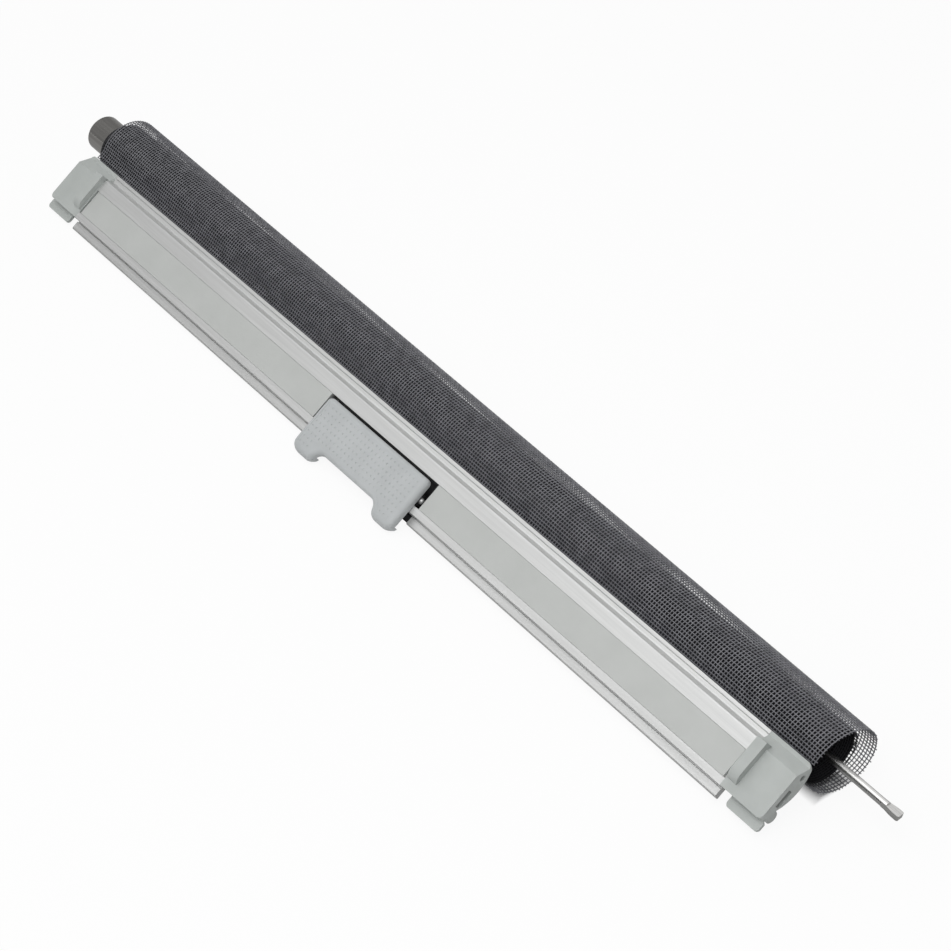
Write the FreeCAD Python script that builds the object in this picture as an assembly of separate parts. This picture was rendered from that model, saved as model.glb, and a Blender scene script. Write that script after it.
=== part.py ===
# Spring-roller insect screen: mesh wound on a sprung tube, its free edge in a pull bar with two
# end caps and a latch handle. Sizes in millimetres.
# Each piece is drawn in the bar's own frame: X along the bar with 0 at its middle, Y across it
# with 0 at the lip's edge and minus towards the flange, Z out of its front with 0 at the front
# plane. The roll's axis runs along X, and at the end the bar's pieces are turned a little askew of
# it and the whole set leans back on the roll, as it lies on a table.
import FreeCAD, Part
import math
import os

# Pull bar. The skew is the angle between the bar and the roll, in degrees.
overall_length = 500.0
bar_skew = 0.54
cap_length = 22.2
lip_drop = 4.0
lip_width = 3.85
lip_thickness = 1.5
lip_line_y = -1.7
lip_line_width = 0.4
lip_line_depth = 0.3
ramp_width = 1.45
strip_top = -11.6
strip_bottom = -25.0
recess_depth = 1.35
recess_undercut = 0.6
recess_lip = 0.45
recess_slope = 0.3
bar_wall = 1.2
bar_back = -8.8
band_bottom = -28.4
groove_width = 0.6
groove_depth = 0.8
flange_drop = 3.1
flange_thickness = 3.1
flange_bottom = -33.1
back_corner_y = -26.4
hollow_top = -9.4

# Channel behind the lip, for the mesh's welt
channel_y = -5.7
channel_radius = 1.8
channel_wall = 1.1
slot_width = 1.2
hook_top = -3.4

# Cover strips
strip_gap = 0.12
strip_end_gap = 1.2

# Window for the handle and its carrier, and the cut in the flange under the handle
window_gap = 2.85
flange_cut_gap = 0.4

# End caps
cap_front_top = -4.3
cap_flat_top = -1.8
cap_ramp_end = -6.8
cap_bottom = -28.1
cap_back_top = -4.9
cap_apex_y = -12.6
cap_apex_z = -9.2
cap_heel_y = -21.6
cap_heel_z = -5.6
cap_corner_radius = 2.2
lobe_y = -24.8
lobe_z = -7.1
lobe_radius = 2.8
lobe_length = 14.0
lobe_inset = 0.5
fin_height = 3.2
fin_width = 5.0
fin_inset = 0.6
fin_top = -4.6
fin_root = 0.6
fin_bend_radius = 5.0
fin_bend_y = -23.6
fin_bottom = -24.4
tab_front = -3.5
tab_thickness = 1.5
tab_bottom = -32.7
tab_inner_gap = 5.2
tab_overhang = 0.5
tab_corner_radius = 1.8
spigot_length = 14.0
spigot_clearance = 0.15
spigot_wall = 1.3
guide_top = -12.7
guide_bottom = -20.7
guide_front = -2.9
guide_back = -5.5
guide_depth = 7.0
eye_y = -6.2
eye_z = -5.2
eye_radius = 1.2
eye_chamfer = 0.45
pocket_end_wall = 2.0

# Handle
handle_half = 35.0
handle_top = -12.9
handle_front = 4.0
handle_back = 0.35
handle_wall = 1.6
handle_front_wall = 2.4
handle_edge_radius = 2.1
handle_corner_radius = 2.4
handle_middle_bottom = -34.45
ear_bottom = -40.8
ear_width = 12.4
ear_outer_radius = 5.0
ear_inner_radius = 3.6
recess_radius = 4.6
ear_slant = 3.0
nose_radius = 4.0
hook_tip_y = -38.5
hook_tip_width = 1.2
table_clearance = 0.35
panel_inset = 2.2
panel_depth = 0.1
dot_column_pitch = 2.61
dot_row_pitch = 2.78
dot_rows = 6
ear_dot_rows = 2
dot_first_y = -16.45
dot_margin = 3.4
dot_radius = 0.5
dot_depth = 0.16
dot_sides = 8

# Handle pin, lugs, carrier and handle springs
pin_y = -21.7
pin_z = -1.75
pin_radius = 1.5
pin_end_gap = 1.25
hinge_clearance = 0.06
lug_radius = 2.2
lug_inset = 2.5
lug_width = 2.9
carrier_clearance = 0.15
carrier_floor = 1.0
carrier_wall = 0.65
carrier_top = -2.3
carrier_low_top = -4.4
tongue_front = -4.7
tongue_thickness = 0.8
tongue_bottom = -32.6
tongue_play = 0.12
cradle_clearance = 0.03
cradle_wall = 1.1
cradle_snap = 0.35
cradle_rise = 0.7
cradle_width = 1.8
cradle_gap = 0.6
middle_cradle_half = 3.0
spring_wire = 0.25
spring_radius = 1.95
spring_pitch = 1.0
spring_turns = 4
spring_gap = 1.5
spring_leg_gap = 0.3

# Roll
tube_radius = 9.0
tube_wall = 0.8
tube_overhang = 20.5
tube_inset = 14.0
roll_rise = 9.0
roll_clearance = 0.45
screen_left_inset = 1.0
screen_overhang = 2.5
screen_thickness = 0.32
first_step = 2.0
core_fit = 0.2
turn_pitch = 0.56
turns = 8
loose_slack = 1.9
tail_radius = 3.0
tail_end_gap = 0.8
ridge_pitch = 1.5
ridge_width = 0.7
ridge_height = 0.16
gap_rows = 3
gaps_per_row = 40
gap_length = 9.0
gap_width = 0.6
keder_radius = 1.25
keder_play = 0.02

# Spring axle in the tube
rod_radius = 1.7
rod_reach = 33.6
rod_seat = 12.0
rod_end_gap = 0.3
blade_length = 7.2
blade_width = 4.7
blade_thickness = 2.0
blade_turn = 53.0
blade_flare = 3.4
blade_flare_radius = 12.0
blade_corner = 0.7
blade_skew = 1.1
plug_fit = 0.05
idle_bush_recess = 0.5
idle_bush_length = 16.0
idle_bore_radius = 3.0
idle_bore_depth = 12.0
axle_bush_length = 12.0
running_clearance = 0.06
clip_gap = 0.3
clip_thickness = 0.8
clip_radius = 3.6
clip_groove = 0.4
clip_play = 0.05
clip_mouth = 2.4
anchor_length = 16.0
anchor_spigot = 9.0
winding_inset = 22.0
winding_length = 12.0
winding_radius = 7.2
coil_spigot_radius = 3.85
cross_pin_radius = 0.8
cross_pin_play = 0.03
main_space = 124.0
main_wire = 0.6
main_radius = 4.65
main_pitch = 4.6
main_leg = 4.0
main_play = 0.15

# Sizes that follow
bar_end = overall_length / 2
bar_half = bar_end - cap_length
skew = math.radians(bar_skew)
window_half = handle_half + window_gap
flange_cut_half = handle_half + flange_cut_gap
pin_half = window_half - pin_end_gap
lug_outer = handle_half - lug_inset
lug_inner = lug_outer - lug_width
tongue_half = flange_cut_half - carrier_clearance
lip_back = -lip_drop - lip_thickness
ramp_foot = -lip_width - ramp_width
slot_z = lip_back - slot_width / 2
flange_top = band_bottom - groove_width
flange_back = -flange_drop - flange_thickness
hollow_front = -recess_depth - bar_wall
hollow_back = bar_back + bar_wall
hollow_bottom = band_bottom + bar_wall
screen_left = -bar_end + screen_left_inset
screen_right = bar_end + screen_overhang
turn_radius = tube_radius + core_fit + screen_thickness / 2 + turns * turn_pitch
loose_radius = turn_radius + loose_slack
loose_outer = loose_radius + screen_thickness / 2 + ridge_height
loose_y = roll_rise + loose_slack
lip_end_y = bar_half * math.sin(skew)
roll_z = lip_back - math.sqrt((loose_outer + roll_clearance) ** 2 - (loose_y - lip_end_y) ** 2)
tube_left = -bar_end - tube_overhang
tube_right = bar_end - tube_inset
tube_bore = tube_radius - tube_wall
winding_right = tube_right - winding_inset
winding_left = winding_right - winding_length
anchor_right = winding_left - main_space
anchor_left = anchor_right - anchor_length
rod_inner_end = anchor_right - rod_seat
rod_tip = bar_end + rod_reach
blade_start = rod_tip - blade_length
clip_left = tube_right + clip_gap

# The mesh leaves the lip by a bend that meets the loose turn, which ends at the roll's foot
sink = math.acos((slot_z + tail_radius - roll_z) / (loose_radius + tail_radius))
tail_y = loose_y - (loose_radius + tail_radius) * math.sin(sink)
loose_start = math.pi / 2 + sink
loose_end = -math.pi

# The table touches the loose turn and the flange's lower corner, and that sets the bar's lean
flange_corner_y = flange_bottom * math.cos(skew) - bar_half * math.sin(skew)
reach_y = loose_y - flange_corner_y
reach_z = flange_back - roll_z
lean = math.atan2(reach_z, reach_y) + math.asin(loose_outer / math.hypot(reach_y, reach_z))


def section_point(y, z):
    return FreeCAD.Vector(0, y, z)


def front_point(x, y):
    return FreeCAD.Vector(x, y, 0)


def polar(y, z, radius, angle):
    # A point about an axis along X. The angle runs from +Y towards +Z, in radians.
    return section_point(y + radius * math.cos(angle), z + radius * math.sin(angle))


def segment(start, end):
    return Part.LineSegment(start, end).toShape()


def arc_edge(y, z, radius, first, last):
    middle = polar(y, z, radius, (first + last) / 2)
    return Part.Arc(polar(y, z, radius, first), middle, polar(y, z, radius, last)).toShape()


def rounded_wire(corners, place):
    # A closed outline of (a, b, radius) corners, each rounded by its own radius.
    rounded = []
    for index, (a, b, radius) in enumerate(corners):
        corner = place(a, b)
        before = place(*corners[index - 1][:2]) - corner
        after = place(*corners[(index + 1) % len(corners)][:2]) - corner
        before.normalize()
        after.normalize()
        half_angle = before.getAngle(after) / 2
        inward = (before + after).normalize() if radius else before
        tangent = radius / math.tan(half_angle)
        sagitta = radius / math.sin(half_angle) - radius
        rounded.append((corner + before * tangent, corner + inward * sagitta, corner + after * tangent))
    edges = []
    for index, (start, crown, end) in enumerate(rounded):
        if corners[index][2]:
            edges.append(Part.Arc(start, crown, end).toShape())
        following = rounded[(index + 1) % len(rounded)][0]
        if end.distanceToPoint(following) > 1e-6:
            edges.append(segment(end, following))
    return Part.Wire(edges)


def carried(face, x_start, x_end):
    solid = face.extrude(FreeCAD.Vector(x_end - x_start, 0, 0))
    solid.translate(FreeCAD.Vector(x_start, 0, 0))
    return solid


def prism(corners, x_start, x_end):
    # A section in Y and Z, carried along X.
    return carried(Part.Face(rounded_wire(corners, section_point)), x_start, x_end)


def plate(corners, z_start, z_end):
    # An outline in X and Y, carried along Z.
    solid = Part.Face(rounded_wire(corners, front_point)).extrude(FreeCAD.Vector(0, 0, z_end - z_start))
    solid.translate(FreeCAD.Vector(0, 0, z_start))
    return solid


def box(x_range, y_range, z_range):
    low = [min(pair) for pair in (x_range, y_range, z_range)]
    size = [max(pair) - min(pair) for pair in (x_range, y_range, z_range)]
    return Part.makeBox(*size, FreeCAD.Vector(*low))


def rod_at(y, z, radius, x_start, x_end):
    return Part.makeCylinder(radius, x_end - x_start, FreeCAD.Vector(x_start, y, z), FreeCAD.Vector(1, 0, 0))


def on_roll(radius, x_start, x_end):
    return rod_at(roll_rise, roll_z, radius, x_start, x_end)


def one_solid(shape):
    clean = shape.removeSplitter()
    return clean.Solids[0] if len(clean.Solids) == 1 else clean


def mirrored(shape):
    return shape.mirror(FreeCAD.Vector(0, 0, 0), FreeCAD.Vector(1, 0, 0))


def askew(shape):
    # Turned with the bar, about the Z axis at its middle.
    copy = shape.copy()
    copy.rotate(FreeCAD.Vector(0, 0, 0), FreeCAD.Vector(0, 0, 1), bar_skew)
    return copy


def recess_outline(gap, front):
    # The bar's undercut recess, or with a gap the strip that snaps into it.
    top = strip_top - gap
    bottom = strip_bottom + gap
    slope_foot = -recess_lip - recess_slope - gap
    return [
        (top, front, 0),
        (top, -recess_lip - gap, 0),
        (top + recess_undercut, slope_foot, 0),
        (top + recess_undercut, -recess_depth, 0),
        (bottom - recess_undercut, -recess_depth, 0),
        (bottom - recess_undercut, slope_foot, 0),
        (bottom, -recess_lip - gap, 0),
        (bottom, front, 0),
    ]


def hollow_outline(inset, corner):
    # The bar's hollow, or drawn in by a clearance and a wall, the cap's spigot and its pocket.
    heel = back_corner_y + bar_wall / 2
    return [
        (hollow_top - inset, hollow_front - inset, corner),
        (hollow_bottom + inset, hollow_front - inset, corner),
        (hollow_bottom + inset, flange_back + bar_wall + inset / 2, corner),
        (heel + inset / 2, hollow_back + inset, corner),
        (hollow_top - inset, hollow_back + inset, corner),
    ]


def pull_bar():
    past = bar_half + 1
    outer = prism([
        (0, -lip_drop, 0.3),
        (-lip_width, -lip_drop, 0.6),
        (ramp_foot, 0, 0.9),
        (band_bottom, 0, 0.25),
        (band_bottom, -flange_drop - groove_depth, 0),
        (flange_top, -flange_drop - groove_depth, 0),
        (flange_top, -flange_drop, 0.2),
        (flange_bottom, -flange_drop, 0.8),
        (flange_bottom, flange_back, 0.4),
        (band_bottom, flange_back, 0.8),
        (back_corner_y, bar_back, 1.5),
        (channel_y, bar_back, 0),
        (channel_y, lip_back, 0),
        (0, lip_back, 0.3),
    ], -bar_half, bar_half)
    tunnel = rod_at(channel_y, slot_z, channel_radius + channel_wall, -bar_half, bar_half)
    tunnel_depth = slot_z - channel_radius - channel_wall
    tunnel_zone = box((-bar_half, bar_half), (hook_top, hollow_top), (lip_back, tunnel_depth))
    body = outer.fuse(tunnel.common(tunnel_zone))
    channel = rod_at(channel_y, slot_z, channel_radius, -past, past)
    slot = box((-past, past), (channel_y, 1), (lip_back, lip_back - slot_width))
    hollow = prism(hollow_outline(0, 0.5), -past, past)
    recess = prism(recess_outline(0, 1), -past, past)
    lip_line = prism([
        (lip_line_y + lip_line_width / 2, -lip_drop, 0),
        (lip_line_y, -lip_drop - lip_line_depth, 0),
        (lip_line_y - lip_line_width / 2, -lip_drop, 0),
    ], -past, past)
    window = box((-window_half, window_half), (strip_bottom, strip_top), (hollow_front - 1, 1))
    flange_cut = box((-flange_cut_half, flange_cut_half), (flange_top, flange_bottom - 1),
                     (flange_back - 1, -flange_drop + 1))
    tongue_slot = box((-tongue_half - tongue_play, tongue_half + tongue_play), (back_corner_y, flange_bottom),
                      (tongue_front + tongue_play, tongue_front - tongue_thickness - tongue_play))
    return one_solid(body.cut([channel, slot, hollow, recess, lip_line, window, flange_cut, tongue_slot]))


def cover_strip():
    return prism(recess_outline(strip_gap, 0), window_half, bar_half - strip_end_gap)


def cap_profile():
    # The cap's section: flat front with a sloping top, flat foot, bowed back.
    corners = [
        section_point(0, cap_front_top),
        section_point(cap_flat_top, cap_front_top),
        section_point(cap_ramp_end, 0),
        section_point(cap_bottom, 0),
        section_point(cap_bottom, cap_heel_z),
        section_point(cap_heel_y, cap_heel_z),
    ]
    edges = [segment(a, b) for a, b in zip(corners, corners[1:])]
    top = section_point(0, cap_back_top)
    edges.append(Part.Arc(corners[-1], section_point(cap_apex_y, cap_apex_z), top).toShape())
    edges.append(segment(top, corners[0]))
    return Part.Face(Part.Wire(edges))


def end_cap():
    body = carried(cap_profile(), bar_half, bar_end)
    front_view = plate([
        (bar_half, 0, 0),
        (bar_end, 0, cap_corner_radius),
        (bar_end, cap_bottom, cap_corner_radius),
        (bar_half, cap_bottom, 0),
    ], cap_apex_z - 1, 1)
    body = body.common(front_view)
    lobe = rod_at(lobe_y, lobe_z, lobe_radius, bar_end - lobe_length, bar_end - lobe_inset)
    fin_start = bar_half + fin_inset
    fin = prism([
        (fin_top, cap_front_top + fin_root, 0),
        (fin_top, fin_height, 0.5),
        (fin_bend_y, fin_height, fin_bend_radius),
        (fin_bottom, -fin_root, 0),
        (cap_ramp_end - fin_root, -fin_root, 0),
    ], fin_start, fin_start + fin_width)
    tab_start = bar_half + tab_inner_gap
    tab_end = bar_end + tab_overhang
    tab_top = cap_bottom + tab_corner_radius
    tab = plate([
        (tab_start, tab_top, 0),
        (tab_start, tab_bottom, tab_corner_radius),
        (tab_end, tab_bottom, tab_corner_radius),
        (tab_end, cap_bottom - tab_overhang, 0),
        (bar_end - cap_corner_radius, tab_top, 0),
    ], tab_front - tab_thickness, tab_front)
    spigot = prism(hollow_outline(spigot_clearance, 0), bar_half - spigot_length, bar_half + 1)
    pocket = prism(hollow_outline(spigot_clearance + spigot_wall, 0), bar_half - spigot_length - 1,
                   bar_end - guide_depth - pocket_end_wall)
    guide = box((bar_end - guide_depth, bar_end + 1), (guide_bottom, guide_top), (guide_back, guide_front))
    eye = rod_at(eye_y, eye_z, eye_radius, bar_end - guide_depth, bar_end + 1)
    eye_mouth = Part.makeCone(eye_radius, eye_radius + eye_chamfer, eye_chamfer,
                              FreeCAD.Vector(bar_end - eye_chamfer, eye_y, eye_z), FreeCAD.Vector(1, 0, 0))
    solid = body.fuse([lobe, fin, tab, spigot])
    return one_solid(solid.cut([pocket, guide, eye, eye_mouth]))


def table_z(y):
    # Depth under the bar of the table's plane, raised by the handle's clearance.
    normal_y = math.sin(lean)
    normal_z = math.cos(lean)
    level = normal_y * flange_bottom + normal_z * flange_back + table_clearance
    return (level - normal_y * y) / normal_z


def handle_outline(inset):
    # The handle from its front, a plate with two ears, or drawn in by a wall its cavity.
    outer = handle_half - inset
    inner = handle_half - ear_width + inset
    right = [
        (inner - ear_slant, handle_middle_bottom + inset, recess_radius + inset),
        (inner, ear_bottom + inset, ear_inner_radius - inset),
        (outer, ear_bottom + inset, ear_outer_radius - inset),
        (outer, handle_top - inset, max(handle_corner_radius - inset, 0)),
    ]
    left = [(-x, y, radius) for x, y, radius in reversed(right)]
    return right + left


def handle_side():
    # The handle from its end: flat front, round nose, and a foot that hooks back.
    nose_y = ear_bottom + nose_radius
    nose_z = handle_front - nose_radius
    foot = section_point(ear_bottom, nose_z)
    tip = section_point(hook_tip_y, table_z(hook_tip_y))
    inner_tip = tip + section_point(hook_tip_width, 0)
    back = section_point(inner_tip.y, handle_back)
    top_back = section_point(handle_top, handle_back)
    top_front = section_point(handle_top, handle_front)
    nose = arc_edge(nose_y, nose_z, nose_radius, math.radians(90), math.radians(180))
    corners = [foot, tip, inner_tip, back, top_back, top_front, section_point(nose_y, handle_front)]
    edges = [nose] + [segment(a, b) for a, b in zip(corners, corners[1:])]
    return Part.Face(Part.Wire(edges))


def handle_cavity_side():
    # The cavity from its end: it follows the front wall, the nose and the hook.
    deep = table_z(hook_tip_y) - 1
    ceiling = handle_front - handle_front_wall
    nose_y = ear_bottom + nose_radius
    nose_z = handle_front - nose_radius
    inner_radius = nose_radius - handle_front_wall
    foot = section_point(nose_y - inner_radius, nose_z)
    inner_tip = section_point(hook_tip_y + hook_tip_width, table_z(hook_tip_y))
    corners = [
        foot,
        inner_tip,
        section_point(inner_tip.y, deep),
        section_point(handle_top - handle_wall, deep),
        section_point(handle_top - handle_wall, ceiling),
        section_point(nose_y, ceiling),
    ]
    edges = [segment(a, b) for a, b in zip(corners, corners[1:])]
    edges.append(arc_edge(nose_y, nose_z, inner_radius, math.radians(90), math.radians(180)))
    return Part.Face(Part.Wire(edges))


def panel():
    # The handle's flat front panel, sunk a little inside its rounded border.
    flat = plate(handle_outline(panel_inset), handle_front - panel_depth, handle_front + 1)
    reach = box((-handle_half, handle_half), (ear_bottom + nose_radius, handle_top),
                (handle_front - panel_depth, handle_front + 1))
    return flat.common(reach)


def dots():
    # Rows of small eight-sided dimples in the front panel. The last rows are in the ears only.
    columns = int(2 * (handle_half - dot_margin) / dot_column_pitch) + 1
    first_x = -(columns - 1) * dot_column_pitch / 2
    ear_inner = handle_half - ear_width + dot_margin
    turn = 2 * math.pi / dot_sides
    rim = [front_point(dot_radius * math.cos(side * turn), dot_radius * math.sin(side * turn))
           for side in range(dot_sides)]
    pit = Part.Face(Part.makePolygon(rim + rim[:1])).extrude(FreeCAD.Vector(0, 0, panel_depth + dot_depth))
    pits = []
    for column in range(columns):
        x = first_x + column * dot_column_pitch
        rows = dot_rows + (ear_dot_rows if abs(x) > ear_inner else 0)
        for row in range(rows):
            copy = pit.copy()
            copy.translate(FreeCAD.Vector(x, dot_first_y - row * dot_row_pitch,
                                          handle_front - panel_depth - dot_depth))
            pits.append(copy)
    return pits


def handle():
    low = table_z(hook_tip_y) - 1
    outer = plate(handle_outline(0), low, handle_front).common(carried(handle_side(), -handle_half, handle_half))
    front_edges = [edge for edge in outer.Edges
                   if min(vertex.Z for vertex in edge.Vertexes) > handle_front - 1e-6
                   and max(vertex.Y for vertex in edge.Vertexes) > ear_bottom + nose_radius - 1e-6
                   and edge.BoundBox.YMin > ear_bottom + nose_radius - 1e-3]
    outer = outer.makeFillet(handle_edge_radius, front_edges)
    cavity = plate(handle_outline(handle_wall), low - 1, handle_front)
    cavity = cavity.common(carried(handle_cavity_side(), -handle_half, handle_half))
    shell = outer.cut(cavity)
    lug_top = handle_front - handle_front_wall / 2
    lugs = []
    for start in (lug_inner, -lug_inner - lug_width):
        web = box((start, start + lug_width), (pin_y - lug_radius, pin_y + lug_radius), (pin_z, lug_top))
        lugs += [web, rod_at(pin_y, pin_z, lug_radius, start, start + lug_width)]
    bore = rod_at(pin_y, pin_z, pin_radius + hinge_clearance, -handle_half, handle_half)
    return one_solid(shell.fuse(lugs).cut([bore, panel()] + dots()))


def handle_pin():
    # A plain pin with round ends.
    dome_x = pin_half - pin_radius
    domes = [Part.makeSphere(pin_radius, FreeCAD.Vector(x, pin_y, pin_z)) for x in (-dome_x, dome_x)]
    return one_solid(rod_at(pin_y, pin_z, pin_radius, -dome_x, dome_x).fuse(domes))


def cradle(x_start, x_end):
    # An open seat for the pin, a little narrower at its mouth so that the pin snaps in.
    reach = pin_radius + cradle_wall
    block = box((x_start, x_end), (pin_y - reach, pin_y + reach), (hollow_back, pin_z + cradle_rise))
    seat = rod_at(pin_y, pin_z, pin_radius + cradle_clearance, x_start, x_end)
    mouth_half = pin_radius - cradle_snap
    mouth = box((x_start, x_end), (pin_y - mouth_half, pin_y + mouth_half), (pin_z, pin_z + cradle_rise + 1))
    return block.cut([seat, mouth])


def handle_carrier():
    half = window_half - carrier_clearance
    top = strip_top - carrier_clearance
    bottom = strip_bottom + carrier_clearance
    floor = box((-half, half), (bottom, top), (hollow_back, hollow_back + carrier_floor))
    upper = box((-half, half), (top - carrier_wall, top), (hollow_back, carrier_top))
    lower = box((-half, half), (bottom, bottom + carrier_wall), (hollow_back, carrier_low_top))
    tongue = box((-tongue_half, tongue_half), (bottom + carrier_wall, tongue_bottom),
                 (tongue_front, tongue_front - tongue_thickness))
    outer_start = lug_outer + cradle_gap
    cradles = [
        cradle(-middle_cradle_half, middle_cradle_half),
        cradle(outer_start, outer_start + cradle_width),
        cradle(-outer_start - cradle_width, -outer_start),
    ]
    return one_solid(floor.fuse([upper, lower, tongue] + cradles))


def coil(y, z, x_start, radius, wire, helix):
    # A round wire along the helix, laid about an axis along X. Both ends lie on the +Y side of it.
    circle = Part.Wire([Part.Circle(FreeCAD.Vector(radius, 0, 0), FreeCAD.Vector(0, 1, 0), wire).toShape()])
    solid = Part.Wire(helix.Edges).makePipeShell([circle], True, True)
    solid.rotate(FreeCAD.Vector(0, 0, 0), FreeCAD.Vector(0, 1, 0), 90)
    solid.rotate(FreeCAD.Vector(0, 0, 0), FreeCAD.Vector(1, 0, 0), 90)
    solid.translate(FreeCAD.Vector(x_start, y, z))
    return solid


def handle_spring():
    # Each of its few turns is a face of its own.
    end = lug_inner - spring_gap
    start = end - spring_pitch * spring_turns
    helix = Part.makeLongHelix(spring_pitch, end - start, spring_radius)
    turns_solid = coil(pin_y, pin_z, start, spring_radius, spring_wire, helix)
    foot = hollow_back + carrier_floor + spring_leg_gap
    head = handle_front - handle_front_wall - spring_leg_gap
    y = pin_y + spring_radius
    down = Part.makeCylinder(spring_wire, pin_z - foot, FreeCAD.Vector(start, y, foot))
    up = Part.makeCylinder(spring_wire, head - pin_z, FreeCAD.Vector(end, y, pin_z))
    knuckles = [Part.makeSphere(spring_wire, FreeCAD.Vector(x, y, pin_z)) for x in (start, end)]
    return one_solid(turns_solid.fuse([down, up] + knuckles))


def sector(y, z, radius, first, last):
    # A bent band of mesh in section: its thickness either side of an arc.
    inner = radius - screen_thickness / 2
    outer = radius + screen_thickness / 2
    return Part.Face(Part.Wire([
        arc_edge(y, z, outer, first, last),
        segment(polar(y, z, outer, last), polar(y, z, inner, last)),
        arc_edge(y, z, inner, last, first),
        segment(polar(y, z, inner, first), polar(y, z, outer, first)),
    ]))


def loose_turn():
    # The slack outer turn with its woven ridges, and rows of open gaps between them on its top.
    outer = loose_radius + screen_thickness / 2
    inner = loose_radius - screen_thickness / 2
    count = int((loose_start - loose_end) * loose_radius / ridge_pitch)
    step = (loose_start - loose_end) / count
    ridge = ridge_width / loose_radius
    edges = []
    for index in range(count):
        valley = loose_start - index * step
        foot = valley - step + ridge
        heel = valley - step
        crest = polar(loose_y, roll_z, outer + ridge_height, (foot + heel) / 2)
        edges.append(arc_edge(loose_y, roll_z, outer, valley, foot))
        edges.append(Part.Arc(polar(loose_y, roll_z, outer, foot), crest,
                              polar(loose_y, roll_z, outer, heel)).toShape())
    edges.append(segment(polar(loose_y, roll_z, outer, loose_end), polar(loose_y, roll_z, inner, loose_end)))
    edges.append(arc_edge(loose_y, roll_z, inner, loose_end, loose_start))
    edges.append(segment(polar(loose_y, roll_z, inner, loose_start), polar(loose_y, roll_z, outer, loose_start)))
    turn = carried(Part.Face(Part.Wire(edges)), screen_left, screen_right)
    top_row = round((loose_start - (math.pi / 2 - lean)) / step)
    gap_pitch = (screen_right - screen_left) / gaps_per_row
    gaps = []
    for row in range(gap_rows):
        angle = loose_start - (top_row + row - gap_rows // 2) * step - (step - ridge) / 2
        for column in range(gaps_per_row):
            start = screen_left + (column + 0.5) * gap_pitch - gap_length / 2
            gap = box((start, start + gap_length), (inner - 1, outer + 1), (-gap_width / 2, gap_width / 2))
            gap.rotate(FreeCAD.Vector(0, 0, 0), FreeCAD.Vector(1, 0, 0), math.degrees(angle))
            gap.translate(section_point(loose_y, roll_z))
            gaps.append(gap)
    return turn.cut(gaps)


def tight_turns():
    # Half circles that each shrink by half the turns' pitch, from the roll's foot inwards. The mesh
    # leaves the bar askew, so each half circle stands a little further left than the one before.
    halves = []
    step = first_step
    for index in range(2 * turns):
        y = roll_rise + (index % 2) * turn_pitch / 2
        radius = turn_radius - index * turn_pitch / 2
        first = loose_end - index * math.pi
        face = sector(y, roll_z, radius, first, first - math.pi)
        halves.append(carried(face, screen_left - step, screen_right - step))
        step += math.pi * radius * math.sin(skew)
    return halves


def screen_tail():
    # From the loose turn round a gentle bend, down behind the lip, and round the welt rod. The
    # level part is a wedge, as its one edge follows the roll and its other edge the bar.
    half = bar_half - tail_end_gap
    bend = carried(sector(tail_y, slot_z + tail_radius, tail_radius, -math.pi / 2 + sink, -math.pi / 2), -half, half)
    corners = []
    for x in (-half, half):
        along = x * math.cos(skew) - channel_y * math.sin(skew)
        across = x * math.sin(skew) + channel_y * math.cos(skew)
        corners.append((along, across, 0))
    corners += [(half, tail_y, 0), (-half, tail_y, 0)]
    level = plate(corners, slot_z - screen_thickness / 2, slot_z + screen_thickness / 2)
    welt_bore = keder_radius + keder_play
    welt = askew(rod_at(channel_y, slot_z, welt_bore + screen_thickness, -half, half))
    return bend.fuse([level, welt]).cut(askew(rod_at(channel_y, slot_z, welt_bore, -half, half)))


def insect_screen():
    return one_solid(loose_turn().fuse(tight_turns() + [screen_tail()]))


def hem_keder():
    half = bar_half - tail_end_gap
    return rod_at(channel_y, slot_z, keder_radius, -half, half)


def roller_tube():
    bore = on_roll(tube_radius - tube_wall, tube_left - 1, tube_right + 1)
    return on_roll(tube_radius, tube_left, tube_right).cut(bore)


def idle_end_bush():
    start = tube_left + idle_bush_recess
    bush = on_roll(tube_bore - plug_fit, start, start + idle_bush_length)
    return bush.cut(on_roll(idle_bore_radius, start - 1, start + idle_bore_depth))


def axle_bush():
    start = tube_right - axle_bush_length
    bush = on_roll(tube_bore - plug_fit, start, tube_right)
    return bush.cut(on_roll(rod_radius + running_clearance, start - 1, tube_right + 1))


def leg_hole(x_start, x_end):
    return rod_at(roll_rise + main_radius, roll_z, main_wire + main_play, x_start, x_end)


def spring_anchor_plug():
    plug = on_roll(tube_bore - plug_fit, anchor_left, anchor_right)
    spigot_end = anchor_right + anchor_spigot
    spigot = on_roll(coil_spigot_radius, anchor_right, spigot_end)
    seat = on_roll(rod_radius + running_clearance, rod_inner_end - rod_end_gap, spigot_end + 1)
    return one_solid(plug.fuse(spigot).cut([seat, leg_hole(anchor_right - main_leg - main_play, anchor_right + 1)]))


def cross_pin(radius, reach):
    pin = Part.makeCylinder(radius, 2 * reach, FreeCAD.Vector(0, 0, -reach))
    pin.translate(FreeCAD.Vector((winding_left + winding_right) / 2, roll_rise, roll_z))
    return pin


def winding_plug():
    plug = on_roll(winding_radius, winding_left, winding_right)
    spigot_start = winding_left - anchor_spigot
    spigot = on_roll(coil_spigot_radius, spigot_start, winding_left)
    bore = on_roll(rod_radius + plug_fit, spigot_start - 1, winding_right + 1)
    pin_hole = cross_pin(cross_pin_radius + cross_pin_play, winding_radius + 1)
    leg = leg_hole(winding_left - 1, winding_left + main_leg + main_play)
    return one_solid(plug.fuse(spigot).cut([bore, pin_hole, leg]))


def winding_plug_pin():
    return cross_pin(cross_pin_radius, winding_radius - cross_pin_play)


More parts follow.
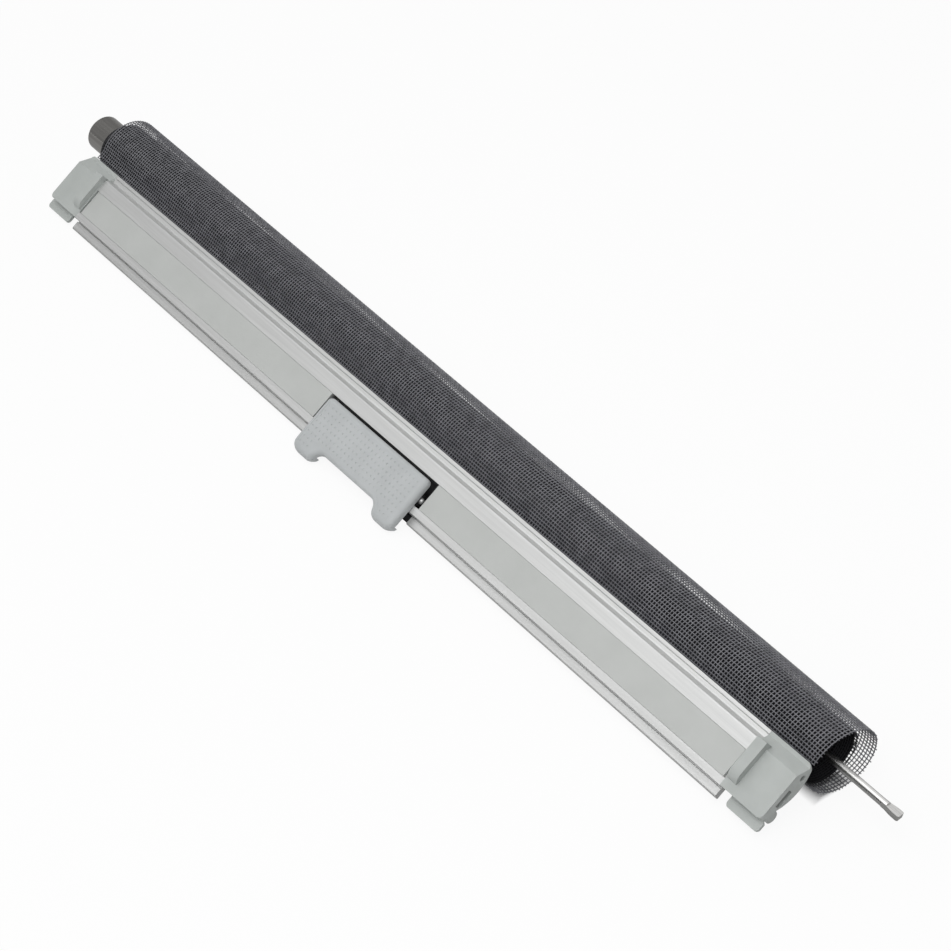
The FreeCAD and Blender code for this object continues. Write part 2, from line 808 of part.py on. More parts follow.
def torsion_spring():
    start = anchor_right + main_wire + main_play
    end = winding_left - main_wire - main_play
    turn_count = int((end - start) / main_pitch)
    helix = Part.makeHelix((end - start) / turn_count, end - start, main_radius)
    wound = coil(roll_rise, roll_z, start, main_radius, main_wire, helix)
    y = roll_rise + main_radius
    legs = [rod_at(y, roll_z, main_wire, anchor_right - main_leg, start),
            rod_at(y, roll_z, main_wire, end, winding_left + main_leg)]
    knuckles = [Part.makeSphere(main_wire, FreeCAD.Vector(x, y, roll_z)) for x in (start, end)]
    return one_solid(wound.fuse(legs + knuckles))


def blade():
    # The rod's flattened end: it flares from the rod's width and is cut off a little askew.
    half = blade_width / 2
    shoulder = blade_start + blade_flare
    flat = Part.Face(rounded_wire([
        (blade_start - blade_thickness, -rod_radius, 0),
        (blade_start, -rod_radius, 0),
        (shoulder, -half, blade_flare_radius),
        (rod_tip, -half, blade_corner),
        (rod_tip - blade_skew, half, blade_corner),
        (shoulder, half, blade_flare_radius),
        (blade_start, rod_radius, 0),
        (blade_start - blade_thickness, rod_radius, 0),
    ], front_point)).extrude(FreeCAD.Vector(0, 0, blade_thickness))
    flat.translate(FreeCAD.Vector(0, 0, -blade_thickness / 2))
    flat.rotate(FreeCAD.Vector(0, 0, 0), FreeCAD.Vector(1, 0, 0), -blade_turn)
    flat.translate(section_point(roll_rise, roll_z))
    return flat


def axle_rod():
    shank = on_roll(rod_radius, rod_inner_end, blade_start)
    groove_end = clip_left + clip_thickness + clip_play
    groove = on_roll(rod_radius + 1, clip_left - clip_play, groove_end)
    groove = groove.cut(on_roll(rod_radius - clip_groove, clip_left - clip_play, groove_end))
    pin_hole = cross_pin(cross_pin_radius + cross_pin_play, winding_radius)
    return one_solid(shank.fuse(blade()).cut([groove, pin_hole]))


def axle_clip():
    ring = on_roll(clip_radius, clip_left, clip_left + clip_thickness)
    bore = on_roll(rod_radius - clip_groove + clip_play, clip_left, clip_left + clip_thickness)
    mouth = box((clip_left, clip_left + clip_thickness), (roll_rise, roll_rise + clip_radius + 1),
                (roll_z - clip_mouth / 2, roll_z + clip_mouth / 2))
    return ring.cut([bore, mouth])


right_strip = cover_strip()
right_cap = end_cap()
right_spring = handle_spring()
bar_pieces = {
    "pull_bar": pull_bar(),
    "cover_strip_left": mirrored(right_strip),
    "cover_strip_right": right_strip,
    "end_cap_left": mirrored(right_cap),
    "end_cap_right": right_cap,
    "handle": handle(),
    "handle_pin": handle_pin(),
    "handle_carrier": handle_carrier(),
    "hem_keder": hem_keder(),
    "handle_spring_left": mirrored(right_spring),
    "handle_spring_right": right_spring,
}
roll_pieces = {
    "insect_screen": insect_screen(),
    "roller_tube": roller_tube(),
    "axle_rod": axle_rod(),
    "idle_end_bush": idle_end_bush(),
    "axle_bush": axle_bush(),
    "spring_anchor_plug": spring_anchor_plug(),
    "winding_plug": winding_plug(),
    "winding_plug_pin": winding_plug_pin(),
    "torsion_spring": torsion_spring(),
    "axle_clip": axle_clip(),
}
nodes = {name: askew(shape) for name, shape in bar_pieces.items()}
nodes.update(roll_pieces)

# Lean the set back on its roll, and put the origin under the middle of its box
for shape in nodes.values():
    shape.rotate(FreeCAD.Vector(0, 0, 0), FreeCAD.Vector(1, 0, 0), math.degrees(lean))
whole = Part.makeCompound(list(nodes.values())).optimalBoundingBox(False)
origin = FreeCAD.Vector(whole.Center.x, whole.Center.y, whole.ZMin)

os.makedirs("parts", exist_ok=True)
for name, shape in nodes.items():
    shape.translate(-origin)
    shape.exportStep(f"parts/{name}.step")
    print(name, len(shape.Solids), shape.isValid(), round(shape.Volume, 2))
print("lean", round(math.degrees(lean), 3), "origin", [round(value, 3) for value in origin])
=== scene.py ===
import math
import bpy
import numpy as np
from mathutils import Matrix, Vector


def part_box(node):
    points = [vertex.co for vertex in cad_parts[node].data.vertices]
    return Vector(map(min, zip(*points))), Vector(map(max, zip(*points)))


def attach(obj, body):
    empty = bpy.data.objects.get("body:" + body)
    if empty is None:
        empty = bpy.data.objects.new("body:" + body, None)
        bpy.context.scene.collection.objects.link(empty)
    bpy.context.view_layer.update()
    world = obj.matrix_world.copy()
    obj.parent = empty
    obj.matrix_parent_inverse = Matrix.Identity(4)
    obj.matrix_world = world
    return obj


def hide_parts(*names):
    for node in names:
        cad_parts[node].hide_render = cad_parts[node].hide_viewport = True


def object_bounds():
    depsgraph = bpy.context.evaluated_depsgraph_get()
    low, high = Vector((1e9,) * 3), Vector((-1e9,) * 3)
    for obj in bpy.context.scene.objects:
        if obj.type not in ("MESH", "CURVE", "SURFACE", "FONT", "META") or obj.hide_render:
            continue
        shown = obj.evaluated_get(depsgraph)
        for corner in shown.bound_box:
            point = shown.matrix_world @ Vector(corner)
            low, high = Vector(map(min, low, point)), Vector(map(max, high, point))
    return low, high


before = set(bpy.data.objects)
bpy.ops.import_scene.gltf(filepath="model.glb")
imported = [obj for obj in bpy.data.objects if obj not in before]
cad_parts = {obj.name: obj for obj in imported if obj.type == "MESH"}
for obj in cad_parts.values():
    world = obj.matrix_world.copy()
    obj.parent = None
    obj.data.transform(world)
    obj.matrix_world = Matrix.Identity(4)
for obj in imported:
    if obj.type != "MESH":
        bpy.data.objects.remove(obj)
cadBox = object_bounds()
mm = 0.001
print("frame loaded:", len(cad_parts), "nodes")

# How the set lies: the bar leans back on the roll and is a little askew of it
stance = {
    "lean": 35.614,  # degrees
    "skew": 0.54,
    "rise": 9.0 * mm,  # the roll's axis, seen from the lip's edge and from the bar's front
    "depth": -19.499 * mm,
    "tubeToBar": 17.25 * mm,  # from the tube's middle to the bar's
    "barHalf": 227.8 * mm,  # half the bar's length between its caps
}
lean = math.radians(stance["lean"])
skew = math.radians(stance["skew"])
tubeLow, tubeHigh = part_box("roller_tube")
axisY = (tubeLow[1] + tubeHigh[1]) / 2
axisZ = (tubeLow[2] + tubeHigh[2]) / 2
barMiddle = (tubeLow[0] + tubeHigh[0]) / 2 + stance["tubeToBar"]


def leanBack(across, out):
    # across runs up the bar's width and out along its front's normal
    return across * math.cos(lean) - out * math.sin(lean), across * math.sin(lean) + out * math.cos(lean)


def barDirection(x, y, z):
    along = x * math.cos(skew) - y * math.sin(skew)
    across = x * math.sin(skew) + y * math.cos(skew)
    return Vector((along, *leanBack(across, z)))


def barPlace(x, y, z):
    # a place in the bar's frame, whose origin is at the lip's edge in the middle of its length
    origin = Vector((barMiddle, axisY, axisZ)) + Vector((0, *leanBack(-stance["rise"], -stance["depth"])))
    return origin + barDirection(x, y, z)


camera = {
    "place": (705.2 * mm, -2.8 * mm, 904.5 * mm),  # in the bar's frame, as are both directions
    "forward": (-0.5873, 0.0035, -0.8094),
    "right": (0.6175, 0.6484, -0.4452),
    "focal": 102.2,  # mm
    "sensor": 36,
    "clip": (0.05, 20),  # m
}


def makeCamera(settings):
    data = bpy.data.cameras.new("camera")
    data.lens = settings["focal"]
    data.sensor_width = settings["sensor"]
    data.clip_start, data.clip_end = settings["clip"]
    view = bpy.data.objects.new("camera", data)
    back = -barDirection(*settings["forward"]).normalized()
    right = barDirection(*settings["right"])
    right = (right - back * right.dot(back)).normalized()
    up = back.cross(right)
    turn = Matrix((right, up, back)).transposed().to_4x4()
    view.matrix_world = Matrix.Translation(barPlace(*settings["place"])) @ turn
    bpy.context.collection.objects.link(view)
    bpy.context.scene.camera = view


makeCamera(camera)
print("camera set")


# Mesh building
def makeObject(name, points, faces, material, smooth=True, uv=None):
    # points is an (n, 3) array in metres, faces an (m, 4) array of corners, uv one pair for each face corner
    sides = faces.shape[1]
    data = bpy.data.meshes.new(name)
    data.vertices.add(len(points))
    data.vertices.foreach_set("co", np.asarray(points, dtype=np.float32).ravel())
    data.loops.add(faces.size)
    data.loops.foreach_set("vertex_index", faces.astype(np.int32).ravel())
    data.polygons.add(len(faces))
    data.polygons.foreach_set("loop_start", np.arange(0, faces.size, sides, dtype=np.int32))
    data.polygons.foreach_set("loop_total", np.full(len(faces), sides, dtype=np.int32))
    data.polygons.foreach_set("use_smooth", np.full(len(faces), smooth))
    if uv is not None:
        layer = data.uv_layers.new(name="surface")
        layer.data.foreach_set("uv", uv.astype(np.float32).ravel())
    data.update(calc_edges=True)
    data.validate()
    data.materials.append(material)
    piece = bpy.data.objects.new(name, data)
    bpy.context.collection.objects.link(piece)
    return piece


def gridFaces(rows, columns, wrap=False):
    # quads between neighbouring rows and columns of a grid. With wrap, the last column joins the first.
    lastColumn = columns if wrap else columns - 1
    row, column = np.meshgrid(np.arange(rows - 1), np.arange(lastColumn), indexing="ij")
    following = (column + 1) % columns
    corners = (row * columns + column, row * columns + following,
               (row + 1) * columns + following, (row + 1) * columns + column)
    return np.stack(corners, axis=-1).reshape(-1, 4)


def tubes(lines, sideways, outward, radius):
    # A four-sided wire with flat ends about each centre line. The lines and both directions at their points
    # are (wires, points, 3) arrays.
    sides = 4
    angles = (np.arange(sides) + 0.5) * 2 * math.pi / sides
    cosines = np.cos(angles)[:, None]
    sines = np.sin(angles)[:, None]
    ring = cosines * sideways[:, :, None, :] + sines * outward[:, :, None, :]
    points = (lines[:, :, None, :] + radius * ring).reshape(-1, 3)
    wires, along = lines.shape[:2]
    ends = np.array([[3, 2, 1, 0], [0, 1, 2, 3]])
    ends[1] += (along - 1) * sides
    one = np.concatenate([gridFaces(along, sides, wrap=True), ends])
    offsets = np.arange(wires)[:, None, None] * along * sides
    return points, (one[None] + offsets).reshape(-1, 4)


# Material building
def emptyMaterial(name):
    material = bpy.data.materials.new(name)
    material.use_nodes = True
    tree = material.node_tree
    tree.nodes.clear()
    return material, tree, tree.nodes.new("ShaderNodeOutputMaterial")


def newMaterial(name):
    material, tree, output = emptyMaterial(name)
    shader = tree.nodes.new("ShaderNodeBsdfPrincipled")
    tree.links.new(shader.outputs["BSDF"], output.inputs["Surface"])
    return material, tree, shader


def calculate(tree, operation, first, second=None, clamp=False):
    # a Math node, whose second value is a number or another node's output
    node = tree.nodes.new("ShaderNodeMath")
    node.operation = operation
    node.use_clamp = clamp
    tree.links.new(first, node.inputs[0])
    if isinstance(second, bpy.types.NodeSocket):
        tree.links.new(second, node.inputs[1])
    elif second is not None:
        node.inputs[1].default_value = second
    return node.outputs["Value"]


def spread(tree, source, low, high, start=0, end=1):
    # a value between start and end spread over the range from low to high
    numbers = tree.nodes.new("ShaderNodeMapRange")
    numbers.inputs["From Min"].default_value = start
    numbers.inputs["From Max"].default_value = end
    numbers.inputs["To Min"].default_value = low
    numbers.inputs["To Max"].default_value = high
    tree.links.new(source, numbers.inputs["Value"])
    return numbers.outputs["Result"]


def parts(tree, vector):
    split = tree.nodes.new("ShaderNodeSeparateXYZ")
    tree.links.new(vector, split.inputs["Vector"])
    return split.outputs


def objectPattern(tree, scale, stretch=(1, 1, 1), detail=4):
    # noise on Object coordinates, drawn out along the axes with the smallest stretch
    place = tree.nodes.new("ShaderNodeTexCoord")
    mapping = tree.nodes.new("ShaderNodeMapping")
    mapping.inputs["Scale"].default_value = stretch
    noise = tree.nodes.new("ShaderNodeTexNoise")
    noise.inputs["Scale"].default_value = scale
    noise.inputs["Detail"].default_value = detail
    tree.links.new(place.outputs["Object"], mapping.inputs["Vector"])
    tree.links.new(mapping.outputs["Vector"], noise.inputs["Vector"])
    return noise.outputs["Fac"]


def ramp(tree, source, low, high, start=0.35, end=0.65):
    colours = tree.nodes.new("ShaderNodeValToRGB")
    for element, colour, position in zip(colours.color_ramp.elements, (low, high), (start, end)):
        element.position = position
        element.color = (*colour, 1)
    tree.links.new(source, colours.inputs["Fac"])
    return colours.outputs["Color"]


def relief(tree, shader, source, height):
    bump = tree.nodes.new("ShaderNodeBump")
    bump.inputs["Strength"].default_value = 1
    bump.inputs["Distance"].default_value = height
    tree.links.new(source, bump.inputs["Height"])
    tree.links.new(bump.outputs["Normal"], shader.inputs["Normal"])


# Finishes of the solid pieces, each between two base colours, low and high
metals = {
    "aluminium": {"low": (0.57, 0.575, 0.57), "high": (0.63, 0.635, 0.63), "roughness": (0.36, 0.46),
                  "lines": 900, "height": 0.01 * mm, "metallic": 0.6},
    "tubeSteel": {"low": (0.40, 0.39, 0.375), "high": (0.50, 0.49, 0.47), "roughness": (0.1, 0.16),
                  "lines": 700, "height": 0.003 * mm, "metallic": 1.0},
    "rodSteel": {"low": (0.50, 0.495, 0.485), "high": (0.64, 0.635, 0.625), "roughness": (0.2, 0.28),
                 "lines": 1400, "height": 0.003 * mm, "metallic": 1.0},
    "pinSteel": {"low": (0.40, 0.40, 0.40), "high": (0.48, 0.48, 0.48), "roughness": (0.35, 0.45),
                 "lines": 1400, "height": 0.003 * mm, "metallic": 0.8},
}
plastics = {
    "strip": {"low": (0.50, 0.515, 0.50), "high": (0.525, 0.54, 0.525), "roughness": (0.42, 0.52),
              "cloud": 60, "grain": 4000, "height": 0.005 * mm},
    "cap": {"low": (0.44, 0.465, 0.45), "high": (0.48, 0.505, 0.49), "roughness": (0.5, 0.62),
            "cloud": 90, "grain": 3000, "height": 0.02 * mm},
    "handle": {"low": (0.48, 0.50, 0.505), "high": (0.515, 0.535, 0.54), "roughness": (0.5, 0.62),
               "cloud": 90, "grain": 3000, "height": 0.02 * mm},
    "black": {"low": (0.012, 0.012, 0.013), "high": (0.02, 0.02, 0.021), "roughness": (0.5, 0.65),
              "cloud": 90, "grain": 3000, "height": 0.02 * mm},
}
piecesOf = {
    "aluminium": ["pull_bar"],
    "tubeSteel": ["roller_tube"],
    "rodSteel": ["axle_rod", "axle_clip", "winding_plug_pin", "torsion_spring", "handle_spring_left",
                 "handle_spring_right"],
    "pinSteel": ["handle_pin"],
    "strip": ["cover_strip_left", "cover_strip_right"],
    "cap": ["end_cap_left", "end_cap_right"],
    "handle": ["handle"],
    "black": ["handle_carrier", "hem_keder", "idle_end_bush", "axle_bush", "spring_anchor_plug",
              "winding_plug"],
}


def metal(name, settings):
    # drawn metal: long fine lines along X in colour, roughness and relief
    material, tree, shader = newMaterial(name)
    streaks = objectPattern(tree, settings["lines"], stretch=(0.02, 1, 1))
    tree.links.new(ramp(tree, streaks, settings["low"], settings["high"]), shader.inputs["Base Color"])
    tree.links.new(spread(tree, streaks, *settings["roughness"]), shader.inputs["Roughness"])
    shader.inputs["Metallic"].default_value = settings["metallic"]
    relief(tree, shader, streaks, settings["height"])
    return material


def plastic(name, settings):
    # moulded plastic: a faint cloudiness in colour and a fine grain in relief
    material, tree, shader = newMaterial(name)
    cloud = objectPattern(tree, settings["cloud"])
    grain = objectPattern(tree, settings["grain"], detail=2)
    tree.links.new(ramp(tree, cloud, settings["low"], settings["high"]), shader.inputs["Base Color"])
    tree.links.new(spread(tree, grain, *settings["roughness"]), shader.inputs["Roughness"])
    relief(tree, shader, grain, settings["height"])
    return material


def dress(nodes, material):
    for node in nodes:
        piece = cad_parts[node]
        if not piece.material_slots:
            piece.data.materials.append(material)
        for place in piece.material_slots:
            place.material = material


for name, settings in metals.items():
    dress(piecesOf[name], metal(name, settings))
for name, settings in plastics.items():
    dress(piecesOf[name], plastic(name, settings))
print("nodes dressed:", sum(len(nodes) for nodes in piecesOf.values()))

# The woven mesh is one flat sheet that follows a path round the roll. In the flat, u runs along the bar and v
# away from it.
weave = {
    "pitch": 1.5 * mm,
    "wire": 0.235 * mm,  # radius
    "wave": 0.11 * mm,  # how far a wire rises and falls at each crossing
    "left": -249.0 * mm,
    "right": 252.6 * mm,
    "start": -5.6 * mm,  # v at the welt in the bar
    "fray": (0.3 * mm, 1.0 * mm),  # how far the cut ends stand out at the right edge
    "seed": 7,
    "endGap": 0.8 * mm,  # from the welt's end to the cap
}
rollPath = {
    "tail": 1.83 * mm,  # where the bend starts, from the lip's edge
    "slotOut": 13.399 * mm,  # the slot's level, from the roll's axis
    "bend": 3.0 * mm,  # radius
    "slack": 1.9 * mm,  # how far the slack turn's middle is from the roll's axis
    "slackRadius": 15.74 * mm,
    "tightRadius": 13.84 * mm,
    "tightPitch": 0.56 * mm,  # from one tight turn to the next
    "turns": 8,
    "slide": 2.0 * mm,  # how far the tight turns have slid to the left in the slack one
    "slideReach": 12.0 * mm,  # half the length of mesh over which they do
    "drawnIn": 3.6 * mm,  # how far the right edge stands back, but for the slack turn's bulge
}
sink = math.acos((rollPath["slotOut"] + rollPath["bend"]) / (rollPath["slackRadius"] + rollPath["bend"]))
bendLength = sink * rollPath["bend"]
slackLength = bendLength + (math.pi * 1.5 + sink) * rollPath["slackRadius"]
turnLength = 2 * math.pi * (rollPath["tightRadius"] - rollPath["tightPitch"] / 2)
tightLength = rollPath["turns"] * math.pi * (2 * rollPath["tightRadius"]
                                             - rollPath["turns"] * rollPath["tightPitch"])


def meshPath(reach):
    # The path by its length from the bend's start: level behind the lip, then a bend, then the slack circle
    # down to the roll's foot, then a spiral that tightens by tightPitch with each turn. Returns the place
    # across and out from the roll's axis, and the normal there.
    tailEnd = rollPath["tail"] - stance["rise"]
    slotOut, bend = rollPath["slotOut"], rollPath["bend"]
    slack, slackRadius = rollPath["slack"], rollPath["slackRadius"]
    tight, pitch = rollPath["tightRadius"], rollPath["tightPitch"]
    inBend = -math.pi / 2 + reach / bend
    onSlack = math.pi / 2 + sink - (reach - bendLength) / slackRadius
    wound = np.clip(reach - slackLength, 0, tightLength)
    turned = (tight - np.sqrt(tight ** 2 - pitch * wound / math.pi)) * 2 * math.pi / pitch
    radius = tight - pitch * turned / (2 * math.pi)
    onSpiral = -math.pi - turned
    zones = [reach < 0, reach < bendLength, reach < slackLength]
    acrossIn = [tailEnd + reach, tailEnd + bend * np.cos(inBend), slack + slackRadius * np.cos(onSlack)]
    outIn = [np.full_like(reach, slotOut), slotOut + bend + bend * np.sin(inBend),
             slackRadius * np.sin(onSlack)]
    normalAcrossIn = [np.zeros_like(reach), -np.cos(inBend), np.cos(onSlack)]
    normalOutIn = [np.ones_like(reach), -np.sin(inBend), np.sin(onSlack)]
    return (np.select(zones, acrossIn, radius * np.cos(onSpiral)),
            np.select(zones, outIn, radius * np.sin(onSpiral)),
            np.select(zones, normalAcrossIn, np.cos(onSpiral)),
            np.select(zones, normalOutIn, np.sin(onSpiral)))


def onRoll(u, v):
    # Places and normals of the sheet's points. The bar is askew, so the sheet winds up a little askew too.
    reach = u * math.sin(skew) + v * math.cos(skew) - rollPath["tail"]
    across, out, normalAcross, normalOut = meshPath(reach)
    slid = np.clip((reach - slackLength) / (2 * rollPath["slideReach"]) + 0.5, 0, 1)
    slid = slid ** 2 * (3 - 2 * slid)  # a soft start and end
    fromLeft = (u - weave["left"]) / (weave["right"] - weave["left"])
    bulge = np.sin(math.pi * np.clip(reach / slackLength, 0, 1))
    toLeft = rollPath["slide"] * slid + rollPath["drawnIn"] * fromLeft * (1 - bulge)
    x = u * math.cos(skew) - v * math.sin(skew) - toLeft
    y, z = leanBack(across, out)
    normalY, normalZ = leanBack(normalAcross, normalOut)
    places = np.stack([barMiddle + x, axisY + y, axisZ + z], axis=-1)
    return places, np.stack([np.zeros_like(x), normalY, normalZ], axis=-1)


def wirePiece(name, lines, normals, material):
    # wires along the second axis of the arrays
    course = np.gradient(lines, axis=1)
    sideways = np.cross(normals, course)
    sideways /= np.linalg.norm(sideways, axis=-1, keepdims=True)
    points, faces = tubes(lines, sideways, normals, weave["wire"])
    return makeObject(name, points, faces, material)


def buildWires(settings, outer, shadedInner):
    # Plain weave: each wire passes over and under its neighbours in turn. Warp wires run along u and hoops
    # along v. Those of the tight turn have the shaded material, the same yarn with painted shade, and the
    # rest the outer one.
    pitch = settings["pitch"]
    columns = int((settings["right"] - settings["left"]) / pitch) + 1
    u = settings["right"] - np.arange(columns)[::-1] * pitch
    rows = int((slackLength + turnLength + rollPath["tail"] - settings["start"]) / pitch)
    v = settings["start"] + np.arange(rows) * pitch
    vs, us = np.meshgrid(v, u, indexing="ij")
    places, normals = onRoll(us, vs)
    row, column = np.meshgrid(np.arange(rows), np.arange(columns), indexing="ij")
    lift = np.where((row + column) % 2 == 0, settings["wave"], -settings["wave"])[:, :, None] * normals
    warp = places + lift
    hoops = np.swapaxes(places - lift, 0, 1)
    hoopNormals = np.swapaxes(normals, 0, 1)

    random = np.random.default_rng(settings["seed"])
    warp[:, -1, 0] += random.uniform(*settings["fray"], rows)
    warp[:, 0, 0] -= settings["fray"][0]

    held = np.abs(u) < stance["barHalf"] - settings["endGap"]  # columns that reach into the bar
    inBar = v < 0
    slack = ~inBar & (v < slackLength + rollPath["tail"])
    tight = ~inBar & ~slack
    slackStart = np.count_nonzero(inBar)
    slackEnd = np.count_nonzero(~tight)
    toSlackEnd = slice(0, slackEnd + 1)
    onlySlack = slice(slackStart, slackEnd + 1)
    onlyTight = slice(slackEnd, None)
    return [
        wirePiece("tailWarp", warp[inBar][:, held], normals[inBar][:, held], outer),
        wirePiece("slackWarp", warp[slack], normals[slack], outer),
        wirePiece("tightWarp", warp[tight], normals[tight], shadedInner),
        wirePiece("slackHoops", hoops[held][:, toSlackEnd], hoopNormals[held][:, toSlackEnd], outer),
        wirePiece("endHoops", hoops[~held][:, onlySlack], hoopNormals[~held][:, onlySlack], outer),
        wirePiece("tightHoops", hoops[:, onlyTight], hoopNormals[:, onlyTight], shadedInner),
    ]


layers = {"aroundTurn": 84, "alongRoll": 24}  # how finely the deep turns are divided


def buildLayers(settings, material):
    # The turns below the outer tight one, as one plain sheet. Its UV counts mesh pitches along u and v.
    steps = settings["aroundTurn"] * (rollPath["turns"] - 1)
    reach = np.linspace(slackLength + turnLength, slackLength + tightLength, steps + 1)
    u = np.linspace(weave["left"], weave["right"], settings["alongRoll"])
    vs, us = np.meshgrid(reach + rollPath["tail"], u, indexing="ij")
    vs = (vs - us * math.sin(skew)) / math.cos(skew)
    places, _ = onRoll(us, vs)
    faces = gridFaces(steps + 1, settings["alongRoll"])
    uv = np.stack([(us / weave["pitch"]).ravel()[faces], (vs / weave["pitch"]).ravel()[faces]], axis=-1)
    return makeObject("meshLayers", places.reshape(-1, 3), faces, material, uv=uv.reshape(-1, 2))


yarns = {
    "meshYarn": {"low": (0.125, 0.126, 0.14), "high": (0.2, 0.201, 0.22), "roughness": (0.28, 0.4),
                 "cloud": 220, "sheen": 0.75},
    # the tight turn's yarn: the outer yarn with painted shade, much darker as it lies in the roll's shadow
    "shadedInnerYarn": {"low": (0.03, 0.03, 0.034), "high": (0.05, 0.05, 0.055), "roughness": (0.28, 0.4),
                  "cloud": 220, "sheen": 0.4},
}
# colours of the deeper turns: near black, painted shade of the roll's inside, with lighter threads than gaps
shade = {
    "low": (0.004, 0.004, 0.005),
    "high": (0.032, 0.032, 0.036),
    "contrast": (0.1, 0.9),
    "thread": (0.18, 0.06),  # a thread's edge and its flat top, in pitches from its middle
    "height": 0.2 * mm,
    "roughness": 0.7,
    "sheen": 0.2,
}


def meshYarn(name):
    # coated yarn with a soft sheen and slight changes along its length
    settings = yarns[name]
    material, tree, shader = newMaterial(name)
    cloud = objectPattern(tree, settings["cloud"])
    tree.links.new(ramp(tree, cloud, settings["low"], settings["high"]), shader.inputs["Base Color"])
    tree.links.new(spread(tree, cloud, *settings["roughness"]), shader.inputs["Roughness"])
    shader.inputs["Specular IOR Level"].default_value = settings["sheen"]
    return material


def meshShade(settings):
    # the deeper turns seen through the outer ones: a faint woven grid in near black, which is painted shade
    # of the roll's inside
    material, tree, shader = newMaterial("meshShade")
    place = tree.nodes.new("ShaderNodeUVMap")
    place.uv_map = "surface"
    pitches = parts(tree, place.outputs["UV"])
    threads = []
    for axis in ("X", "Y"):
        fromThread = calculate(tree, "PINGPONG", pitches[axis], 0.5)
        threads.append(spread(tree, fromThread, 0, 1, *settings["thread"]))
    grid = calculate(tree, "MAXIMUM", *threads)
    colour = ramp(tree, grid, settings["low"], settings["high"], *settings["contrast"])
    tree.links.new(colour, shader.inputs["Base Color"])
    shader.inputs["Roughness"].default_value = settings["roughness"]
    shader.inputs["Specular IOR Level"].default_value = settings["sheen"]
    relief(tree, shader, grid, settings["height"])
    return material


wirePieces = buildWires(weave, meshYarn("meshYarn"), meshYarn("shadedInnerYarn"))
layerPiece = buildLayers(layers, meshShade(shade))
for piece in wirePieces + [layerPiece]:
    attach(piece, "screen")
    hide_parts("insect_screen")
flatLength = rollPath["tail"] - weave["start"] + slackLength + tightLength
triangles = sum(2 * len(piece.data.polygons) for piece in wirePieces + [layerPiece])
print("mesh woven, flat length", round(flatLength, 4), "triangles", triangles)

# Floor, reflected surroundings and lights
stage = {
    "size": 6.0,
    "colour": (0.9, 0.9, 0.9),
    "roughness": 0.9,
    "white": 0.92,  # how much of the lit floor's shading the camera doesn't see
    "dark": (0.249, 0.006),  # where it sees all of it, under the roll: half the length and half the width
    "pale": (0.251, 0.012),  # and where that has faded out
}
surroundings = {  # cards seen in reflections alone, each from one corner to the opposite one
    "table": {"from": (-3.0, -3.0, -0.001), "to": (3.0, 3.0, -0.001), "brightness": 0.35},
    "front": {"from": (-2.0, -1.3, 0.08), "to": (2.0, -1.3, 1.1), "brightness": 0.08},
    "left": {"from": (-1.2, -0.9, 0.0), "to": (-1.2, 1.0, 1.2), "brightness": 0.28},
}
lights = {  # they point at the origin
    "key": {"place": (0.30, -0.45, 0.95), "size": 0.9, "power": 5.5},
    "fill": {"place": (-0.7, -0.2, 1.3), "size": 1.4, "power": 4.0},
}
worldLight = {"left": 0.6, "right": 0.22}  # strength from each side
white = (1, 1, 1, 1)
oneFace = np.array([[0, 1, 2, 3]])


def whiteShare(tree):
    # 1 for camera, mirror and glass rays, which see the plain white background
    rays = tree.nodes.new("ShaderNodeLightPath").outputs
    seen = calculate(tree, "ADD", rays["Is Camera Ray"], rays["Is Glossy Ray"], clamp=True)
    return calculate(tree, "ADD", seen, rays["Is Transmission Ray"], clamp=True)


def floorMaterial(settings):
    # Plain white to the camera but for a faint shadow. The narrow gap under the roll keeps its own dark
    # shading, which shows through the mesh.
    material, tree, output = emptyMaterial("paleFloor")
    lit = tree.nodes.new("ShaderNodeBsdfPrincipled")
    lit.inputs["Base Color"].default_value = (*settings["colour"], 1)
    lit.inputs["Roughness"].default_value = settings["roughness"]
    glow = tree.nodes.new("ShaderNodeEmission")
    glow.inputs["Strength"].default_value = 1
    place = tree.nodes.new("ShaderNodeTexCoord")
    fromRoll = tree.nodes.new("ShaderNodeMapping")
    fromRoll.inputs["Location"].default_value = (-barMiddle, -axisY, 0)
    tree.links.new(place.outputs["Object"], fromRoll.inputs["Vector"])
    distances = parts(tree, fromRoll.outputs["Vector"])
    clear = []
    for axis, dark, pale in zip(("X", "Y"), settings["dark"], settings["pale"]):
        away = calculate(tree, "ABSOLUTE", distances[axis])
        clear.append(spread(tree, away, 0, settings["white"], dark, pale))
    share = calculate(tree, "MULTIPLY", whiteShare(tree), calculate(tree, "MAXIMUM", *clear))
    mix = tree.nodes.new("ShaderNodeMixShader")
    tree.links.new(share, mix.inputs["Fac"])
    tree.links.new(lit.outputs["BSDF"], mix.inputs[1])
    tree.links.new(glow.outputs["Emission"], mix.inputs[2])
    tree.links.new(mix.outputs["Shader"], output.inputs["Surface"])
    return material


def glowMaterial(name, brightness):
    material, tree, output = emptyMaterial(name)
    glow = tree.nodes.new("ShaderNodeEmission")
    glow.inputs["Color"].default_value = (brightness, brightness, brightness, 1)
    tree.links.new(glow.outputs["Emission"], output.inputs["Surface"])
    return material


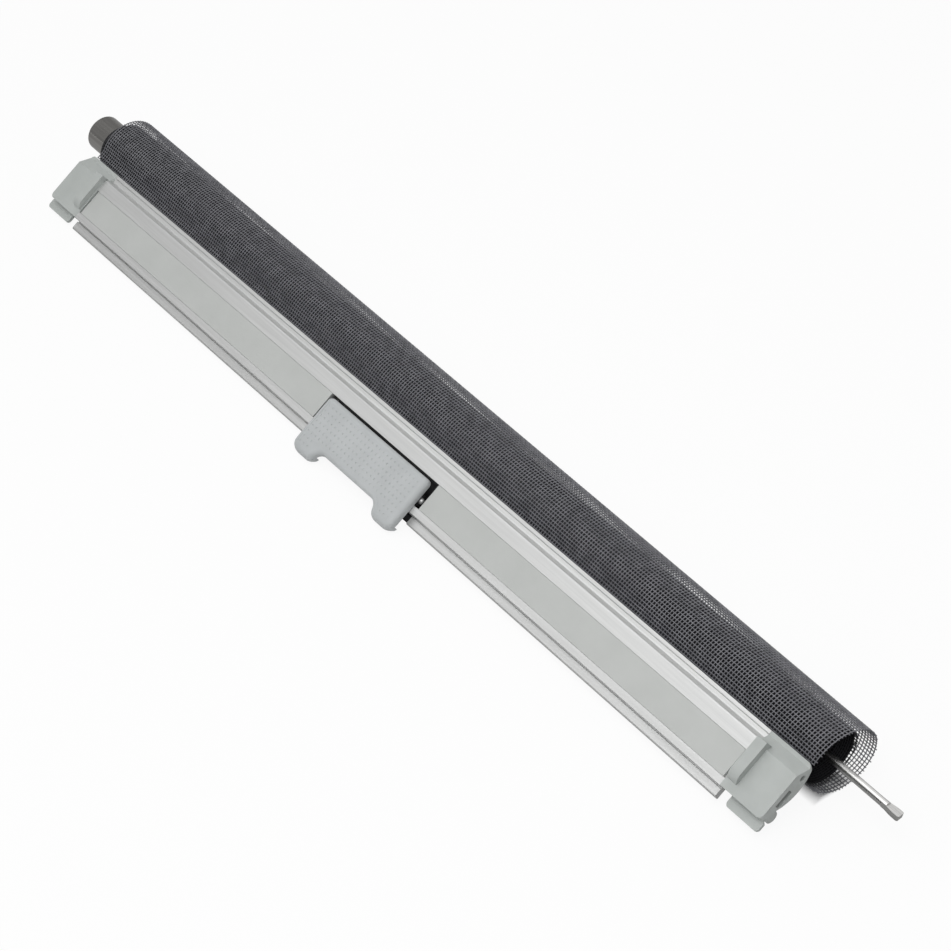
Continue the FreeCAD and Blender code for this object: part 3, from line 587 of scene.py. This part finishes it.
def buildFloor(settings):
    half = settings["size"] / 2
    foot = cadBox[0][2]
    points = np.array([[-half, -half, foot], [half, -half, foot], [half, half, foot], [-half, half, foot]])
    floor = makeObject("floor", points, oneFace, floorMaterial(settings), smooth=False)
    floor.visible_glossy = False


def buildSurroundings(settings):
    for name, card in settings.items():
        start, end = card["from"], card["to"]
        if start[2] == end[2]:
            points = [start, (end[0], start[1], start[2]), end, (start[0], end[1], start[2])]
        else:
            points = [start, (end[0], end[1], start[2]), end, (start[0], start[1], end[2])]
        glow = glowMaterial(name + "Glow", card["brightness"])
        piece = makeObject(name + "Card", np.array(points), oneFace, glow, smooth=False)
        piece.visible_camera = False
        piece.visible_diffuse = False
        piece.visible_transmission = False
        piece.visible_shadow = False


def buildLights(settings):
    for name, lamp in settings.items():
        data = bpy.data.lights.new(name, "AREA")
        data.size = lamp["size"]
        data.energy = lamp["power"]
        piece = bpy.data.objects.new(name, data)
        piece.location = lamp["place"]
        piece.rotation_euler = (-Vector(lamp["place"])).to_track_quat("-Z", "Y").to_euler()
        bpy.context.collection.objects.link(piece)


def buildWorld(settings):
    # white to the camera, and a soft light that is weaker from the right
    world = bpy.data.worlds.new("studio")
    world.use_nodes = True
    tree = world.node_tree
    tree.nodes.clear()
    output = tree.nodes.new("ShaderNodeOutputWorld")
    place = tree.nodes.new("ShaderNodeTexCoord")
    direction = parts(tree, place.outputs["Generated"])
    strength = spread(tree, direction["X"], settings["left"], settings["right"], -1, 1)
    light = tree.nodes.new("ShaderNodeBackground")
    light.inputs["Color"].default_value = white
    tree.links.new(strength, light.inputs["Strength"])
    seen = tree.nodes.new("ShaderNodeBackground")
    seen.inputs["Color"].default_value = white
    mix = tree.nodes.new("ShaderNodeMixShader")
    tree.links.new(whiteShare(tree), mix.inputs["Fac"])
    tree.links.new(light.outputs["Background"], mix.inputs[1])
    tree.links.new(seen.outputs["Background"], mix.inputs[2])
    tree.links.new(mix.outputs["Shader"], output.inputs["Surface"])
    bpy.context.scene.world = world


buildFloor(stage)
buildSurroundings(surroundings)
buildLights(lights)
buildWorld(worldLight)
bpy.context.scene.view_settings.view_transform = "Standard"
print("stage and lights set")
